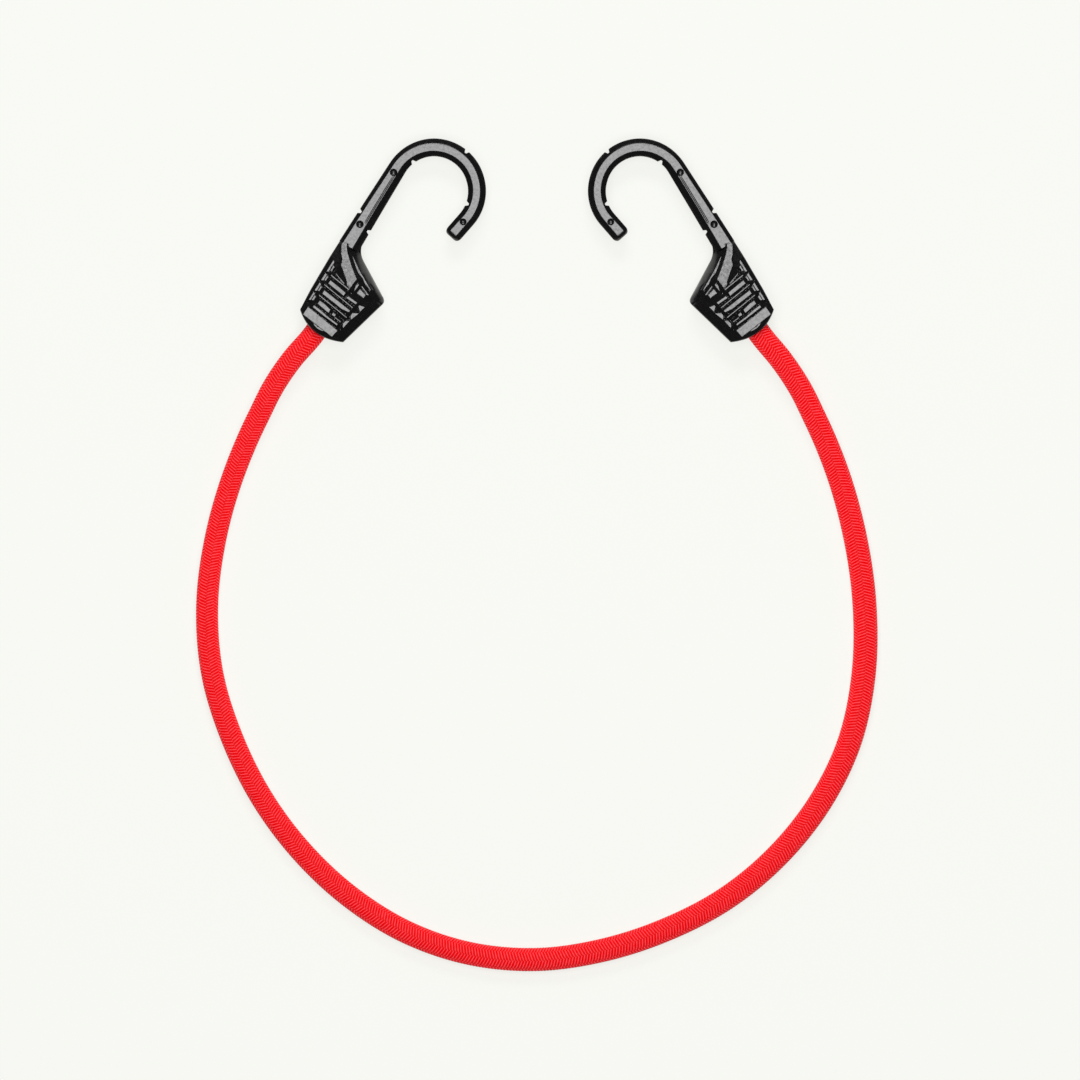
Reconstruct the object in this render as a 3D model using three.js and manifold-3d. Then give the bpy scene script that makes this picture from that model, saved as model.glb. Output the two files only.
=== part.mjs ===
// Bungee cord: an elastic cord in a braided jacket, with a nylon hook moulded over a bent steel
// wire at each end. It lies in an open loop, hooks at +Y, on the plane z = 0.
// Millimetres, +Z up. The origin is on that plane, midway between the two hooks.
import * as THREE from 'three';
import { mergeVertices } from 'three/addons/utils/BufferGeometryUtils.js';
import Module from 'manifold-3d';

const wasm = await Module();
wasm.setup();

// Cord
const cordDia = 6.5;
const jacketWall = 0.7;
const cordSides = 12;
const coreSides = 8;
const cordStep = 13;
const neckLength = 46;
const bightLength = 106;
const routeDivisions = 2000;

// Fits
const fitGap = 0.3;
const gripSqueeze = 0.15;
const weldTolerance = 1e-4;

// Steel wire inside each hook: a coil round the cord's end, a straight shank and the hook's bend
const wireDia = 2.4;
const wireSides = 6;
const wireStep = 2.1;
const coilPitch = 3.3;
const coilTurns = 3;
const wireBend = 3.5;
const shankReach = 52.1;
const hookRadius = 12.2;
const hookSweep = THREE.MathUtils.degToRad(190);
const tipLength = 5.2;
const tipCover = 1.5;

// Clip crimped round the cord's end, above the coil
const clipWire = 1.6;
const clipSpan = THREE.MathUtils.degToRad(266);
const clipTurn = THREE.MathUtils.degToRad(38);
const clipSteps = 14;
const cordStub = 0.6;

// Nylon moulding: the bar. The covers are the nylon over the wire at the bar's sides and faces
const sideCover = 1.3;
const faceCover = 1.6;
const barRound = 1.3;
const barRoundSteps = 2;
const barStep = 3.1;
const noseLength = 1.2;
const noseSides = 12;
const noseRings = 8;
const tunnelSides = 8;

// Nylon moulding: the head, seen from above. x runs from the mouth to the hook, y to the shank's side.
// What ends in Past is a distance past the cord's end
const skin = 1.1;
const lip = 2.6;
const heelX = 3.2;
const heelInset = 0.4;
const toeX = 1.6;
const toeY = 8.4;
const mouthBow = 2.4;
const wingPast = 0.3;
const wingY = 12.3;
const wingRound = 0.4;
const toeRound = 0.4;
const shoulderPast = 2.3;
const crookPast = 8.3;
const crookLength = 3.3;
const neckPast = 12.8;
const wingThickness = 8.4;
const wingEdge = 1.3;
const wingEdgeSteps = 2;
const outlineSteps = 5;
const boreSides = 24;

// Nylon moulding: the barrel round the coil, with ribs for the fingers and a stepped collar
const barrelRound = 2.3;
const barrelRoundSteps = 3;
const innerSkin = 0.9;
const rampLead = 0.7;
const rampLength = 11.5;
const collarX = 0.3;
const collarDrop = 2.1;
const collarStepX = 1.5;
const collarStepDrop = 1.1;
const bandX = 2.5;
const ribPitch = 3.2;
const ribCount = 4;
const grooveStart = 5.9;
const grooveWidth = 1.9;
const grooveDepth = 0.55;
const ribTilt = THREE.MathUtils.degToRad(5);

// Marks of the mould pins that hold the wire: distances along the bar from the bend's start
const pinDia = 2.2;
const pinSides = 10;
const pinReaches = [-19.3, -1.7, 41.6];
const notchWidth = 1.5;
const notchFloor = 0.2;
const outerNotches = [-15.6, 20.7];
const innerNotches = [-19.9, 4.6, 36.2];

// Where the cord lies. Each point is x, y and its rise: 0 on the floor, 1 at the height of a mouth
const routePoints = [
  [-63.1, -26.1, 1],
  [-67.1, -32.2, 1],
  [-76.4, -44.9, 0.6],
  [-85.5, -64.4, 0.07],
  [-91.3, -84.1, 0],
  [-93.8, -103.9, 0],
  [-92.3, -123.4, 0],
  [-86.6, -141.8, 0],
  [-78.1, -158.8, 0],
  [-66.9, -173.8, 0],
  [-53.1, -186.7, 0],
  [-37.1, -196.7, 0],
  [-19.1, -202.8, 0],
  [-0.1, -204.5, 0],
  [18.6, -201.9, 0],
  [36.5, -196.1, 0],
  [53.5, -187.3, 0],
  [68.2, -175.2, 0],
  [80.4, -160.0, 0],
  [88.9, -142.6, 0],
  [92.9, -123.5, 0],
  [93.2, -103.9, 0],
  [90.5, -84.3, 0],
  [85.0, -64.6, 0.07],
  [76.2, -45.1, 0.6],
  [67.1, -32.2, 1],
  [63.1, -26.1, 1],
];
const hookTilt = THREE.MathUtils.degToRad(58.1);

// Sizes that follow from those above
const cordRadius = cordDia / 2;
const jacketBore = cordRadius - jacketWall;
const coreRadius = jacketBore - fitGap;
const gripRadius = cordRadius - gripSqueeze;
const wireRadius = wireDia / 2;
const coilRadius = gripRadius + fitGap + wireRadius;
const coilReach = coilRadius + wireRadius + fitGap;
const headHalf = coilReach + skin;
const coilStartX = lip + fitGap + wireRadius;
const coilTopX = coilStartX + coilTurns * coilPitch;
const clipRadius = gripRadius + fitGap + clipWire / 2;
const clipX = coilTopX + wireRadius + fitGap + clipWire / 2;
const gripEndX = clipX + clipWire / 2 + cordStub;
const barWidth = wireDia + 2 * sideCover;
const barHeight = wireDia + 2 * faceCover;
const notchDepth = sideCover - notchFloor;
const bendY = coilRadius - hookRadius;
const shankOuter = coilRadius + barWidth / 2;
const shankInner = coilRadius - barWidth / 2;
const heelY = shankOuter - heelInset;
const barrelInner = coilReach + innerSkin;
const rampX = gripEndX - rampLead;
const rampFoot = rampX + rampLength;
const wingX = gripEndX + wingPast;
const shoulderX = gripEndX + shoulderPast;
const crookX = gripEndX + crookPast;
const neckX = gripEndX + neckPast;

const nylon = { color: '#111114', roughness: 0.22, metalness: 0 };
const steel = { color: '#a9a7a2', roughness: 0.35, metalness: 1 };
const braid = { color: '#e8141f', roughness: 0.7, metalness: 0 };
const rubber = { color: '#e6dfcf', roughness: 0.8, metalness: 0 };

// Sections and sweeps

function polygonSection(radius, sides) {
  const corners = [];
  for (let i = 0; i < sides; i++) {
    const angle = (2 * Math.PI * (i + 0.5)) / sides;
    corners.push(new THREE.Vector2(radius * Math.cos(angle), radius * Math.sin(angle)));
  }
  return new THREE.Shape(corners);
}

function tubeSection(outer, inner, sides) {
  const section = polygonSection(outer, sides);
  section.holes.push(polygonSection(inner, sides));
  return section;
}

// A rectangle with round corners, its height along the section's x
function barSection() {
  const x = barHeight / 2 - barRound;
  const y = barWidth / 2 - barRound;
  const quarter = Math.PI / 2;
  const section = new THREE.Shape();
  section.absarc(x, y, barRound, 0, quarter);
  section.absarc(-x, y, barRound, quarter, 2 * quarter);
  section.absarc(-x, -y, barRound, 2 * quarter, 3 * quarter);
  section.absarc(x, -y, barRound, 3 * quarter, 4 * quarter);
  section.closePath();
  return section;
}

function sweep(section, path, steps) {
  const settings = { extrudePath: path, steps, bevelEnabled: false, curveSegments: barRoundSteps };
  return new THREE.ExtrudeGeometry(section, settings);
}

// A round bar along x, from one x to another. Its flats lie at the radius, so a bore is never tight
function roundBore(radius, from, to) {
  const corner = radius / Math.cos(Math.PI / boreSides);
  const bore = new THREE.CylinderGeometry(corner, corner, to - from, boreSides);
  bore.rotateZ(Math.PI / 2);
  bore.translate((from + to) / 2, 0, 0);
  return bore;
}

// Solids joined and cut

function solid(geometry) {
  const bare = geometry.clone();
  bare.deleteAttribute('normal');
  bare.deleteAttribute('uv');
  const merged = mergeVertices(bare, weldTolerance);
  const vertProperties = Float32Array.from(merged.attributes.position.array);
  const triVerts = Uint32Array.from(merged.index.array);
  return new wasm.Manifold(new wasm.Mesh({ numProp: 3, vertProperties, triVerts }));
}

function geometryOf(manifold) {
  const mesh = manifold.getMesh();
  const geometry = new THREE.BufferGeometry();
  geometry.setAttribute('position', new THREE.BufferAttribute(mesh.vertProperties, 3));
  geometry.setIndex(new THREE.BufferAttribute(mesh.triVerts, 1));
  return geometry;
}

function meshOf(name, geometry, finish) {
  const mesh = new THREE.Mesh(geometry, new THREE.MeshStandardMaterial(finish));
  mesh.name = name;
  return mesh;
}

// The wire's line. reach is measured from the start of the hook's bend: negative down the shank
// and the coil, positive round the bend and out to the tip

const bendLength = hookRadius * hookSweep;
const helixAngle = Math.atan(coilPitch / (2 * Math.PI * coilRadius));
const turnLength = Math.hypot(2 * Math.PI * coilRadius, coilPitch);
const rise = wireBend * Math.cos(helixAngle);
const riseLength = wireBend * (Math.PI / 2 - helixAngle);
const shankStart = coilTopX + rise - shankReach;
const coilEnd = shankStart - riseLength;
const coilStart = coilEnd - coilTurns * turnLength;
const wireEnd = bendLength + tipLength + noseLength - tipCover;

function onCoil(x, angle) {
  return new THREE.Vector3(x, coilRadius * Math.cos(angle), coilRadius * Math.sin(angle));
}

function wirePoint(reach) {
  if (reach < coilEnd) {
    const turns = (reach - coilEnd) / turnLength;
    const lead = (wireBend / coilRadius) * (Math.sin(helixAngle) - 1);
    return onCoil(coilTopX + turns * coilPitch, 2 * Math.PI * turns + lead);
  }
  if (reach < shankStart) {
    const slope = helixAngle + (reach - coilEnd) / wireBend;
    const x = coilTopX + rise - wireBend * Math.cos(slope);
    return onCoil(x, (wireBend / coilRadius) * (Math.sin(slope) - 1));
  }
  if (reach < 0) {
    return new THREE.Vector3(shankReach + reach, coilRadius, 0);
  }
  const angle = Math.min(reach, bendLength) / hookRadius;
  const past = Math.max(reach - bendLength, 0);
  const x = shankReach + hookRadius * Math.sin(angle) + past * Math.cos(angle);
  const y = bendY + hookRadius * Math.cos(angle) - past * Math.sin(angle);
  return new THREE.Vector3(x, y, 0);
}

class WireLine extends THREE.Curve {
  constructor(from, to) {
    super();
    this.from = from;
    this.to = to;
  }

  getPoint(t, target = new THREE.Vector3()) {
    return target.copy(wirePoint(THREE.MathUtils.lerp(this.from, this.to, t)));
  }

  sweep(section, step) {
    return sweep(section, this, Math.ceil((this.to - this.from) / step));
  }
}

class ClipLine extends THREE.Curve {
  getPoint(t, target = new THREE.Vector3()) {
    const angle = clipTurn + clipSpan * t;
    return target.set(clipX, clipRadius * Math.cos(angle), clipRadius * Math.sin(angle));
  }
}

// Turns a cutter made at the origin, its x along the bar, and puts it on the bar's line
function onBar(geometry, reach, outward) {
  const here = wirePoint(reach);
  const heading = -Math.min(Math.max(reach, 0), bendLength) / hookRadius;
  geometry.translate(0, outward, 0);
  geometry.rotateZ(heading);
  geometry.translate(here.x, here.y, here.z);
  return geometry;
}

// The head's outline from above, from the shank round the mouth and the wing
function headOutline() {
  const outline = new THREE.Shape();
  const toe = new THREE.Vector2(toeX, -toeY);
  const wing = new THREE.Vector2(wingX, -wingY);
  const crook = new THREE.Vector2(crookX, shankInner);
  const along = wing.clone().sub(toe).normalize();
  const up = crook.clone().sub(wing).normalize();
  const crookStart = crook.clone().addScaledVector(up, -crookLength);
  const toeCorner = wingEdge + toeRound;
  const wingCorner = wingEdge + wingRound;
  const mouthEnd = toe.clone().addScaledVector(new THREE.Vector2(0, 1), toeCorner);
  outline.moveTo(neckX, shankOuter);
  outline.lineTo(heelX, heelY);
  outline.quadraticCurveTo(-mouthBow, 0, mouthEnd.x, mouthEnd.y);
  const toeEnd = toe.clone().addScaledVector(along, toeCorner);
  outline.quadraticCurveTo(toe.x, toe.y, toeEnd.x, toeEnd.y);
  const wingStart = wing.clone().addScaledVector(along, -wingCorner);
  outline.lineTo(wingStart.x, wingStart.y);
  const wingEnd = wing.clone().addScaledVector(up, wingCorner);
  outline.quadraticCurveTo(wing.x, wing.y, wingEnd.x, wingEnd.y);
  outline.lineTo(crookStart.x, crookStart.y);
  outline.quadraticCurveTo(crook.x, crook.y, crook.x + crookLength, shankInner);
  outline.lineTo(neckX, shankInner);
  outline.closePath();
  return outline;
}

// A shape in the x-z plane, the same above and below, from its upper edge listed from low x to high
function sideShape(upperEdge) {
  const lowerEdge = upperEdge.map(([x, z]) => [x, -z]).reverse();
  return new THREE.Shape(upperEdge.concat(lowerEdge).map(([x, z]) => new THREE.Vector2(x, z)));
}

// A side shape given width along y, from one y down to another
function across(shape, from, to, edge) {
  const settings = {
    depth: from - to - 2 * edge,
    bevelEnabled: edge > 0,
    bevelThickness: edge,
    bevelSize: edge,
    bevelOffset: -edge,
    bevelSegments: barrelRoundSteps,
  };
  const geometry = new THREE.ExtrudeGeometry(shape, settings);
  geometry.rotateX(Math.PI / 2);
  geometry.translate(0, from - edge, 0);
  return geometry;
}

// The wing plate: the head's outline with softened edges, thinned towards the shank
function wingPlate() {
  const settings = {
    depth: wingThickness - 2 * wingEdge,
    bevelThickness: wingEdge,
    bevelSize: wingEdge,
    bevelOffset: -wingEdge,
    bevelSegments: wingEdgeSteps,
    curveSegments: outlineSteps,
  };
  const plate = new THREE.ExtrudeGeometry(headOutline(), settings);
  plate.translate(0, 0, -wingThickness / 2 + wingEdge);
  const thinning = sideShape([
    [-mouthBow, wingThickness / 2],
    [shoulderX, wingThickness / 2],
    [neckX, barHeight / 2],
  ]);
  return solid(plate).intersect(solid(across(thinning, heelY + barWidth, -wingY - barWidth, 0)));
}

// The barrel round the coil: a stepped collar at the mouth, a flat back, and a ramp down to the shank
function barrel() {
  const loaf = sideShape([
    [collarX, headHalf - collarDrop],
    [collarStepX, headHalf - collarStepDrop],
    [bandX, headHalf],
    [rampX, headHalf],
    [rampFoot, barHeight / 2],
  ]);
  const settings = { depth: 2 * headHalf, bevelEnabled: false, curveSegments: outlineSteps };
  const column = new THREE.ExtrudeGeometry(headOutline(), settings);
  column.translate(0, 0, -headHalf);
  return solid(across(loaf, shankOuter, -barrelInner, barrelRound)).intersect(solid(column));
}

// The finger ribs are what is left between these grooves, on the head's back and on its underside
function ribGrooves() {
  const grooveLength = 2 * (shankOuter + barrelInner);
  const grooves = [];
  for (let i = 0; i < ribCount; i++) {
    for (const side of [1, -1]) {
      const groove = new THREE.BoxGeometry(grooveWidth, grooveLength, 2 * grooveDepth);
      groove.rotateZ(-ribTilt);
      groove.translate(grooveStart + i * ribPitch, 0, side * headHalf);
      grooves.push(solid(groove));
    }
  }
  return grooves;
}

// Round pin marks through the bar's two faces, and notches in its edges, all down to the wire
function pinMarks() {
  const marks = [];
  for (const reach of pinReaches) {
    const pin = new THREE.CylinderGeometry(pinDia / 2, pinDia / 2, 2 * barHeight, pinSides);
    pin.rotateX(Math.PI / 2);
    marks.push(solid(onBar(pin, reach, 0)));
  }
  const notches = [...outerNotches.map((r) => [r, 1]), ...innerNotches.map((r) => [r, -1])];
  for (const [reach, side] of notches) {
    const notch = new THREE.BoxGeometry(notchWidth, 2 * notchDepth, 2 * barHeight);
    marks.push(solid(onBar(notch, reach, (side * barWidth) / 2)));
  }
  return marks;
}

function hookMoulding() {
  const barStart = (rampX + rampFoot) / 2 - shankReach;
  const tip = bendLength + tipLength;
  const nose = new THREE.SphereGeometry(1, noseSides, noseRings);
  nose.scale(noseLength, barWidth / 2, barHeight / 2);
  let body = solid(new WireLine(barStart, tip).sweep(barSection(), barStep));
  for (const piece of [solid(onBar(nose, tip, 0)), wingPlate(), barrel()]) {
    body = body.add(piece);
  }
  const coilPocket = roundBore(coilReach, lip, coilTopX + wireRadius + fitGap);
  const clipPocketRadius = clipRadius + clipWire / 2 + fitGap;
  const clipPocket = roundBore(clipPocketRadius, coilTopX, gripEndX + fitGap);
  const mouth = roundBore(cordRadius + fitGap, -mouthBow, coilStartX);
  const tunnelRadius = (wireRadius + fitGap) / Math.cos(Math.PI / tunnelSides);
  const tunnelSection = polygonSection(tunnelRadius, tunnelSides);
  const tunnel = new WireLine(coilEnd, wireEnd + fitGap).sweep(tunnelSection, wireStep);
  const cavities = [coilPocket, clipPocket, mouth, tunnel].map(solid);
  for (const cut of [...cavities, ...ribGrooves(), ...pinMarks()]) {
    body = body.subtract(cut);
  }
  return geometryOf(body);
}

// The least distance between the surfaces of two turns of the wire's coil
function coilGap() {
  const points = [];
  for (let reach = coilStart; reach < coilEnd; reach += wireStep / 2) {
    points.push(wirePoint(reach));
  }
  const halfTurn = Math.round(turnLength / wireStep);
  let least = Infinity;
  points.forEach((point, i) => {
    points.slice(i + halfTurn).forEach((other) => {
      least = Math.min(least, point.distanceTo(other) - wireDia);
    });
  });
  return least;
}

// One stretch of the cord's end inside the head, held by the coil
function gripTube(section) {
  const line = new THREE.LineCurve3(
    new THREE.Vector3(fitGap / 2, 0, 0),
    new THREE.Vector3(gripEndX, 0, 0),
  );
  return sweep(section, line, 1);
}

function hook(side) {
  const group = new THREE.Group();
  const clip = sweep(polygonSection(clipWire / 2, wireSides), new ClipLine(), clipSteps);
  const wireSection = polygonSection(wireRadius, wireSides);
  const wire = new WireLine(coilStart, wireEnd).sweep(wireSection, wireStep);
  const gripBore = gripRadius - jacketWall;
  const gripJacket = gripTube(tubeSection(gripRadius, gripBore, cordSides));
  const gripCore = gripTube(polygonSection(gripBore - fitGap, coreSides));
  group.add(meshOf(`${side}_hook_moulding`, hookMoulding(), nylon));
  group.add(meshOf(`${side}_hook_wire`, wire, steel));
  group.add(meshOf(`${side}_end_clip`, clip, steel));
  group.add(meshOf(`${side}_grip_jacket`, gripJacket, braid));
  group.add(meshOf(`${side}_grip_core`, gripCore, rubber));
  return group;
}

// The cord's line, and its free stretches

const routeLine = new THREE.CatmullRomCurve3(
  routePoints.map(([x, y, up]) => {
    return new THREE.Vector3(x, y, THREE.MathUtils.lerp(cordRadius, headHalf, up));
  }),
);
routeLine.arcLengthDivisions = routeDivisions;
const cordLength = routeLine.getLength();

class CordStretch extends THREE.Curve {
  constructor(from, to) {
    super();
    this.from = (from + fitGap / 2) / cordLength;
    this.to = (to - fitGap / 2) / cordLength;
  }

  getPoint(t, target = new THREE.Vector3()) {
    return routeLine.getPointAt(THREE.MathUtils.lerp(this.from, this.to, t), target);
  }
}

function stretch(name, from, to) {
  const line = new CordStretch(from, to);
  const steps = Math.ceil((to - from) / cordStep);
  const jacket = sweep(tubeSection(cordRadius, jacketBore, cordSides), line, steps);
  const core = sweep(polygonSection(coreRadius, coreSides), line, steps);
  return [meshOf(`${name}_jacket`, jacket, braid), meshOf(`${name}_core`, core, rubber)];
}

const bungee = new THREE.Group();
const [mouthX, mouthY] = routePoints[0];
const limbEnd = (cordLength - bightLength) / 2;

const leftHook = hook('left');
leftHook.position.set(mouthX, mouthY, headHalf);
leftHook.rotation.set(0, 0, hookTilt);
bungee.add(leftHook);

const rightHook = hook('right');
rightHook.position.set(-mouthX, mouthY, headHalf);
rightHook.rotation.set(0, Math.PI, hookTilt);
bungee.add(rightHook);

bungee.add(...stretch('left_neck', 0, neckLength));
bungee.add(...stretch('left_limb', neckLength, limbEnd));
bungee.add(...stretch('bight', limbEnd, cordLength - limbEnd));
bungee.add(...stretch('right_limb', cordLength - limbEnd, cordLength - neckLength));
bungee.add(...stretch('right_neck', cordLength - neckLength, cordLength));

console.log(`cord, mouth to mouth: ${cordLength.toFixed(1)} mm`);
console.log(`least gap between turns of a hook's coil: ${coilGap().toFixed(2)} mm`);

export default bungee;
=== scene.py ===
import math

import bmesh
import bpy
import numpy as np
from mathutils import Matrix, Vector


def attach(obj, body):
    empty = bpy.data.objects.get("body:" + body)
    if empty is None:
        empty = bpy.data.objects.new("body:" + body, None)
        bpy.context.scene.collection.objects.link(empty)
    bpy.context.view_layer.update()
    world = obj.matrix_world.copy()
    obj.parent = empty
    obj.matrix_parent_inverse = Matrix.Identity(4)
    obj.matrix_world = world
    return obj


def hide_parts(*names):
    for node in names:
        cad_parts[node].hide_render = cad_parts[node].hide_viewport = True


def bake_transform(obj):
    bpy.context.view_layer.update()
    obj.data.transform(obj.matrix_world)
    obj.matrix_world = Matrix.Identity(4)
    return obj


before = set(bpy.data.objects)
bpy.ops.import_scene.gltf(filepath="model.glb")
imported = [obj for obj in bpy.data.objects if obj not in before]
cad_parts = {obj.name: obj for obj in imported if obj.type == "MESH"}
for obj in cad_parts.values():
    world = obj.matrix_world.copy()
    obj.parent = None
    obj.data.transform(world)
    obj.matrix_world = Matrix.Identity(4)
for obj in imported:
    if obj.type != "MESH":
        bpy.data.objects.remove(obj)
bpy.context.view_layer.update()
scene = bpy.context.scene
scene.view_settings.view_transform = "Standard"
mm = 0.001


# an sRGB hex colour as the linear one that shaders take
def linearColour(hexCode):
    parts = [int(hexCode[i:i + 2], 16) / 255 for i in (1, 3, 5)]
    return [c / 12.92 if c <= 0.04045 else ((c + 0.055) / 1.055) ** 2.4 for c in parts] + [1.0]


# one node with its settings, socket values and links
def addNode(tree, kind, settings={}, values={}, links={}):
    node = tree.nodes.new("ShaderNode" + kind)
    for name, value in settings.items():
        setattr(node, name, value)
    for socket, value in values.items():
        node.inputs[socket].default_value = value
    for socket, source in links.items():
        tree.links.new(source, node.inputs[socket])
    return node


def newMaterial(name):
    material = bpy.data.materials.new(name)
    material.use_nodes = True
    material.node_tree.nodes.clear()
    return material, material.node_tree


def addPiece(name, points, faces, material):
    mesh = bpy.data.meshes.new(name)
    faces = [[int(i) for i in face] for face in faces]
    mesh.from_pydata((np.asarray(points) * mm).tolist(), [], faces)
    mesh.update()
    mesh.materials.append(material)
    piece = bpy.data.objects.new(name, mesh)
    scene.collection.objects.link(piece)
    mesh.shade_smooth()
    return piece


# quads between the rings of a grid of points, closed round each ring
def ringFaces(rings, sides, first=0, flip=False):
    row = np.arange(rings - 1)[:, None] * sides
    here = np.arange(sides)[None, :]
    after = (here + 1) % sides
    quads = np.stack([row + here, row + after, row + sides + after, row + sides + here], -1)
    quads = quads.reshape(-1, 4) + first
    return quads[:, ::-1] if flip else quads


# camera, straight above, framed as the photograph is
view = {
    "middle": (0.87, -85.17),  # mm, what the middle of the picture looks at
    "width": 307.15, "level": 6.0,  # mm across the picture, at this many mm above the floor
    "lens": 1500, "sensor": 36,  # mm, a long lens, so both hooks are seen from straight above
}
cameraData = bpy.data.cameras.new("overheadCamera")
cameraData.lens = view["lens"]
cameraData.sensor_width = view["sensor"]
camera = bpy.data.objects.new("overheadCamera", cameraData)
scene.collection.objects.link(camera)
cameraHeight = view["width"] * view["lens"] / view["sensor"] + view["level"]
camera.location = (view["middle"][0] * mm, view["middle"][1] * mm, cameraHeight * mm)
scene.camera = camera
print("camera set", round(cameraHeight), "mm above the floor")

# materials; in a range, 1 and 2 are what comes into a MapRange node, 3 and 4 what goes out

# Braided polypropylene yarn, flat bundles of fine filaments laid over and under each other:
# bright red, with a painted sheen along each stroke and painted shade where a stroke dives under
# the next.
braid = {
    # painted light: the first colour is a painted sheen on the strokes' crowns, the second painted
    # shade in the gaps between strokes and at the columns' edges
    "lit": "#FF5963", "gap": "#E80006",
    "strokeRange": {1: 0.25, 2: 0.5, 3: 0.0, 4: 1.0},  # way from a stroke's gap, how much painted sheen it takes over the painted shade
    "columnRange": {1: 0.0, 2: 0.15, 3: 0.7, 4: 1.0},  # the same from a column's edge, painted shade at the edge
    "patch": 1.1,  # mm, size of the patches where the dye took a little more or less
    "patchRange": {1: 0.3, 2: 0.7, 3: -0.12, 4: 0.12},  # noise, how much lighter or darker
    "filaments": 5,  # drawn coarser than the real dozens in a stroke, so that they show
    "filamentDepth": 0.06,  # mm
}
yarn, tree = newMaterial("braidedPolypropylene")
along = addNode(tree, "Attribute", {"attribute_name": "stroke"}).outputs["Fac"]
across = addNode(tree, "Attribute", {"attribute_name": "column"}).outputs["Fac"]
place = addNode(tree, "TexCoord").outputs["Object"]
inStroke = addNode(tree, "Math", {"operation": "PINGPONG"}, {1: 0.5}, {0: along}).outputs[0]
inColumn = addNode(tree, "Math", {"operation": "PINGPONG"}, {1: 0.5}, {0: across}).outputs[0]
# painted light: how far each point is painted towards the sheen colour or the shade colour
strokeRise = addNode(tree, "MapRange", {"interpolation_type": "SMOOTHSTEP"}, braid["strokeRange"],
                     {0: inStroke}).outputs[0]
columnRise = addNode(tree, "MapRange", {"interpolation_type": "SMOOTHSTEP"}, braid["columnRange"],
                     {0: inColumn}).outputs[0]
rise = addNode(tree, "Math", {"operation": "MULTIPLY"}, {},
               {0: strokeRise, 1: columnRise}).outputs[0]
patchy = addNode(tree, "TexNoise", {}, {"Scale": 1 / (braid["patch"] * mm), "Detail": 3.0},
                 {"Vector": place}).outputs["Fac"]
tone = addNode(tree, "MapRange", {}, braid["patchRange"], {0: patchy}).outputs[0]
# painted sheen and shade, with the dye's patches added
sheenShadeAndDye = addNode(tree, "Math", {"operation": "ADD", "use_clamp": True}, {},
                   {0: rise, 1: tone}).outputs[0]
colour = addNode(tree, "Mix", {"data_type": "RGBA"},
                 {"A": linearColour(braid["gap"]), "B": linearColour(braid["lit"])},
                 {"Factor": sheenShadeAndDye})
fine = addNode(tree, "Math", {"operation": "MULTIPLY"}, {1: float(braid["filaments"])},
               {0: along}).outputs[0]
fineWave = addNode(tree, "Math", {"operation": "PINGPONG"}, {1: 0.5}, {0: fine}).outputs[0]
filament = addNode(tree, "Bump", {}, {"Strength": 0.35, "Distance": braid["filamentDepth"] * mm},
                   {"Height": fineWave})
shader = addNode(tree, "BsdfPrincipled", {},
                 {"Diffuse Roughness": 1.0, "Roughness": 0.5, "IOR": 1.49,
                  "Specular IOR Level": 0.07},
                 {"Base Color": colour.outputs["Result"], "Normal": filament.outputs["Normal"]})
addNode(tree, "OutputMaterial", {}, {}, {"Surface": shader.outputs[0]})

# Natural rubber thread, cut from sheet: dull cream, faintly chalky.
thread = {"dull": "#C9B48A", "pale": "#E0CFA8", "chalk": 1.4}  # mm, size of the chalky patches
rubber, tree = newMaterial("naturalRubberThread")
place = addNode(tree, "TexCoord").outputs["Object"]
chalk = addNode(tree, "TexNoise", {}, {"Scale": 1 / (thread["chalk"] * mm), "Detail": 4.0},
                {"Vector": place}).outputs["Fac"]
colour = addNode(tree, "Mix", {"data_type": "RGBA"},
                 {"A": linearColour(thread["dull"]), "B": linearColour(thread["pale"])},
                 {"Factor": chalk})
shader = addNode(tree, "BsdfPrincipled", {}, {"Roughness": 0.65, "IOR": 1.52},
                 {"Base Color": colour.outputs["Result"]})
addNode(tree, "OutputMaterial", {}, {}, {"Surface": shader.outputs[0]})

# Nylon 6, injection moulded in a polished steel mould and filled black:
# deep black with a clear gloss, so flat faces mirror the lamp as mid grey, and a faint flow ripple.
moulded = {
    "deep": "#040405", "worn": "#0A0A0C",
    "flow": 2.4, "flowDepth": 0.15,  # mm, length and height of the ripples
    "scuff": 0.67,  # mm, size of the handling marks
    "glossRange": {1: 0.35, 2: 0.7, 3: 0.2, 4: 0.32},  # noise, roughness
}
nylon, tree = newMaterial("mouldedBlackNylon")
place = addNode(tree, "TexCoord").outputs["Object"]
ripple = addNode(tree, "TexNoise", {}, {"Scale": 1 / (moulded["flow"] * mm), "Detail": 2.0},
                 {"Vector": place}).outputs["Fac"]
scuff = addNode(tree, "TexNoise", {}, {"Scale": 1 / (moulded["scuff"] * mm), "Detail": 5.0},
                {"Vector": place}).outputs["Fac"]
gloss = addNode(tree, "MapRange", {}, moulded["glossRange"], {0: scuff}).outputs[0]
colour = addNode(tree, "Mix", {"data_type": "RGBA"},
                 {"A": linearColour(moulded["deep"]), "B": linearColour(moulded["worn"])},
                 {"Factor": scuff})
flow = addNode(tree, "Bump", {}, {"Strength": 0.12, "Distance": moulded["flowDepth"] * mm},
               {"Height": ripple})
shader = addNode(tree, "BsdfPrincipled", {}, {"IOR": 1.53},
                 {"Base Color": colour.outputs["Result"], "Roughness": gloss,
                  "Normal": flow.outputs["Normal"]})
addNode(tree, "OutputMaterial", {}, {}, {"Surface": shader.outputs[0]})

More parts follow.
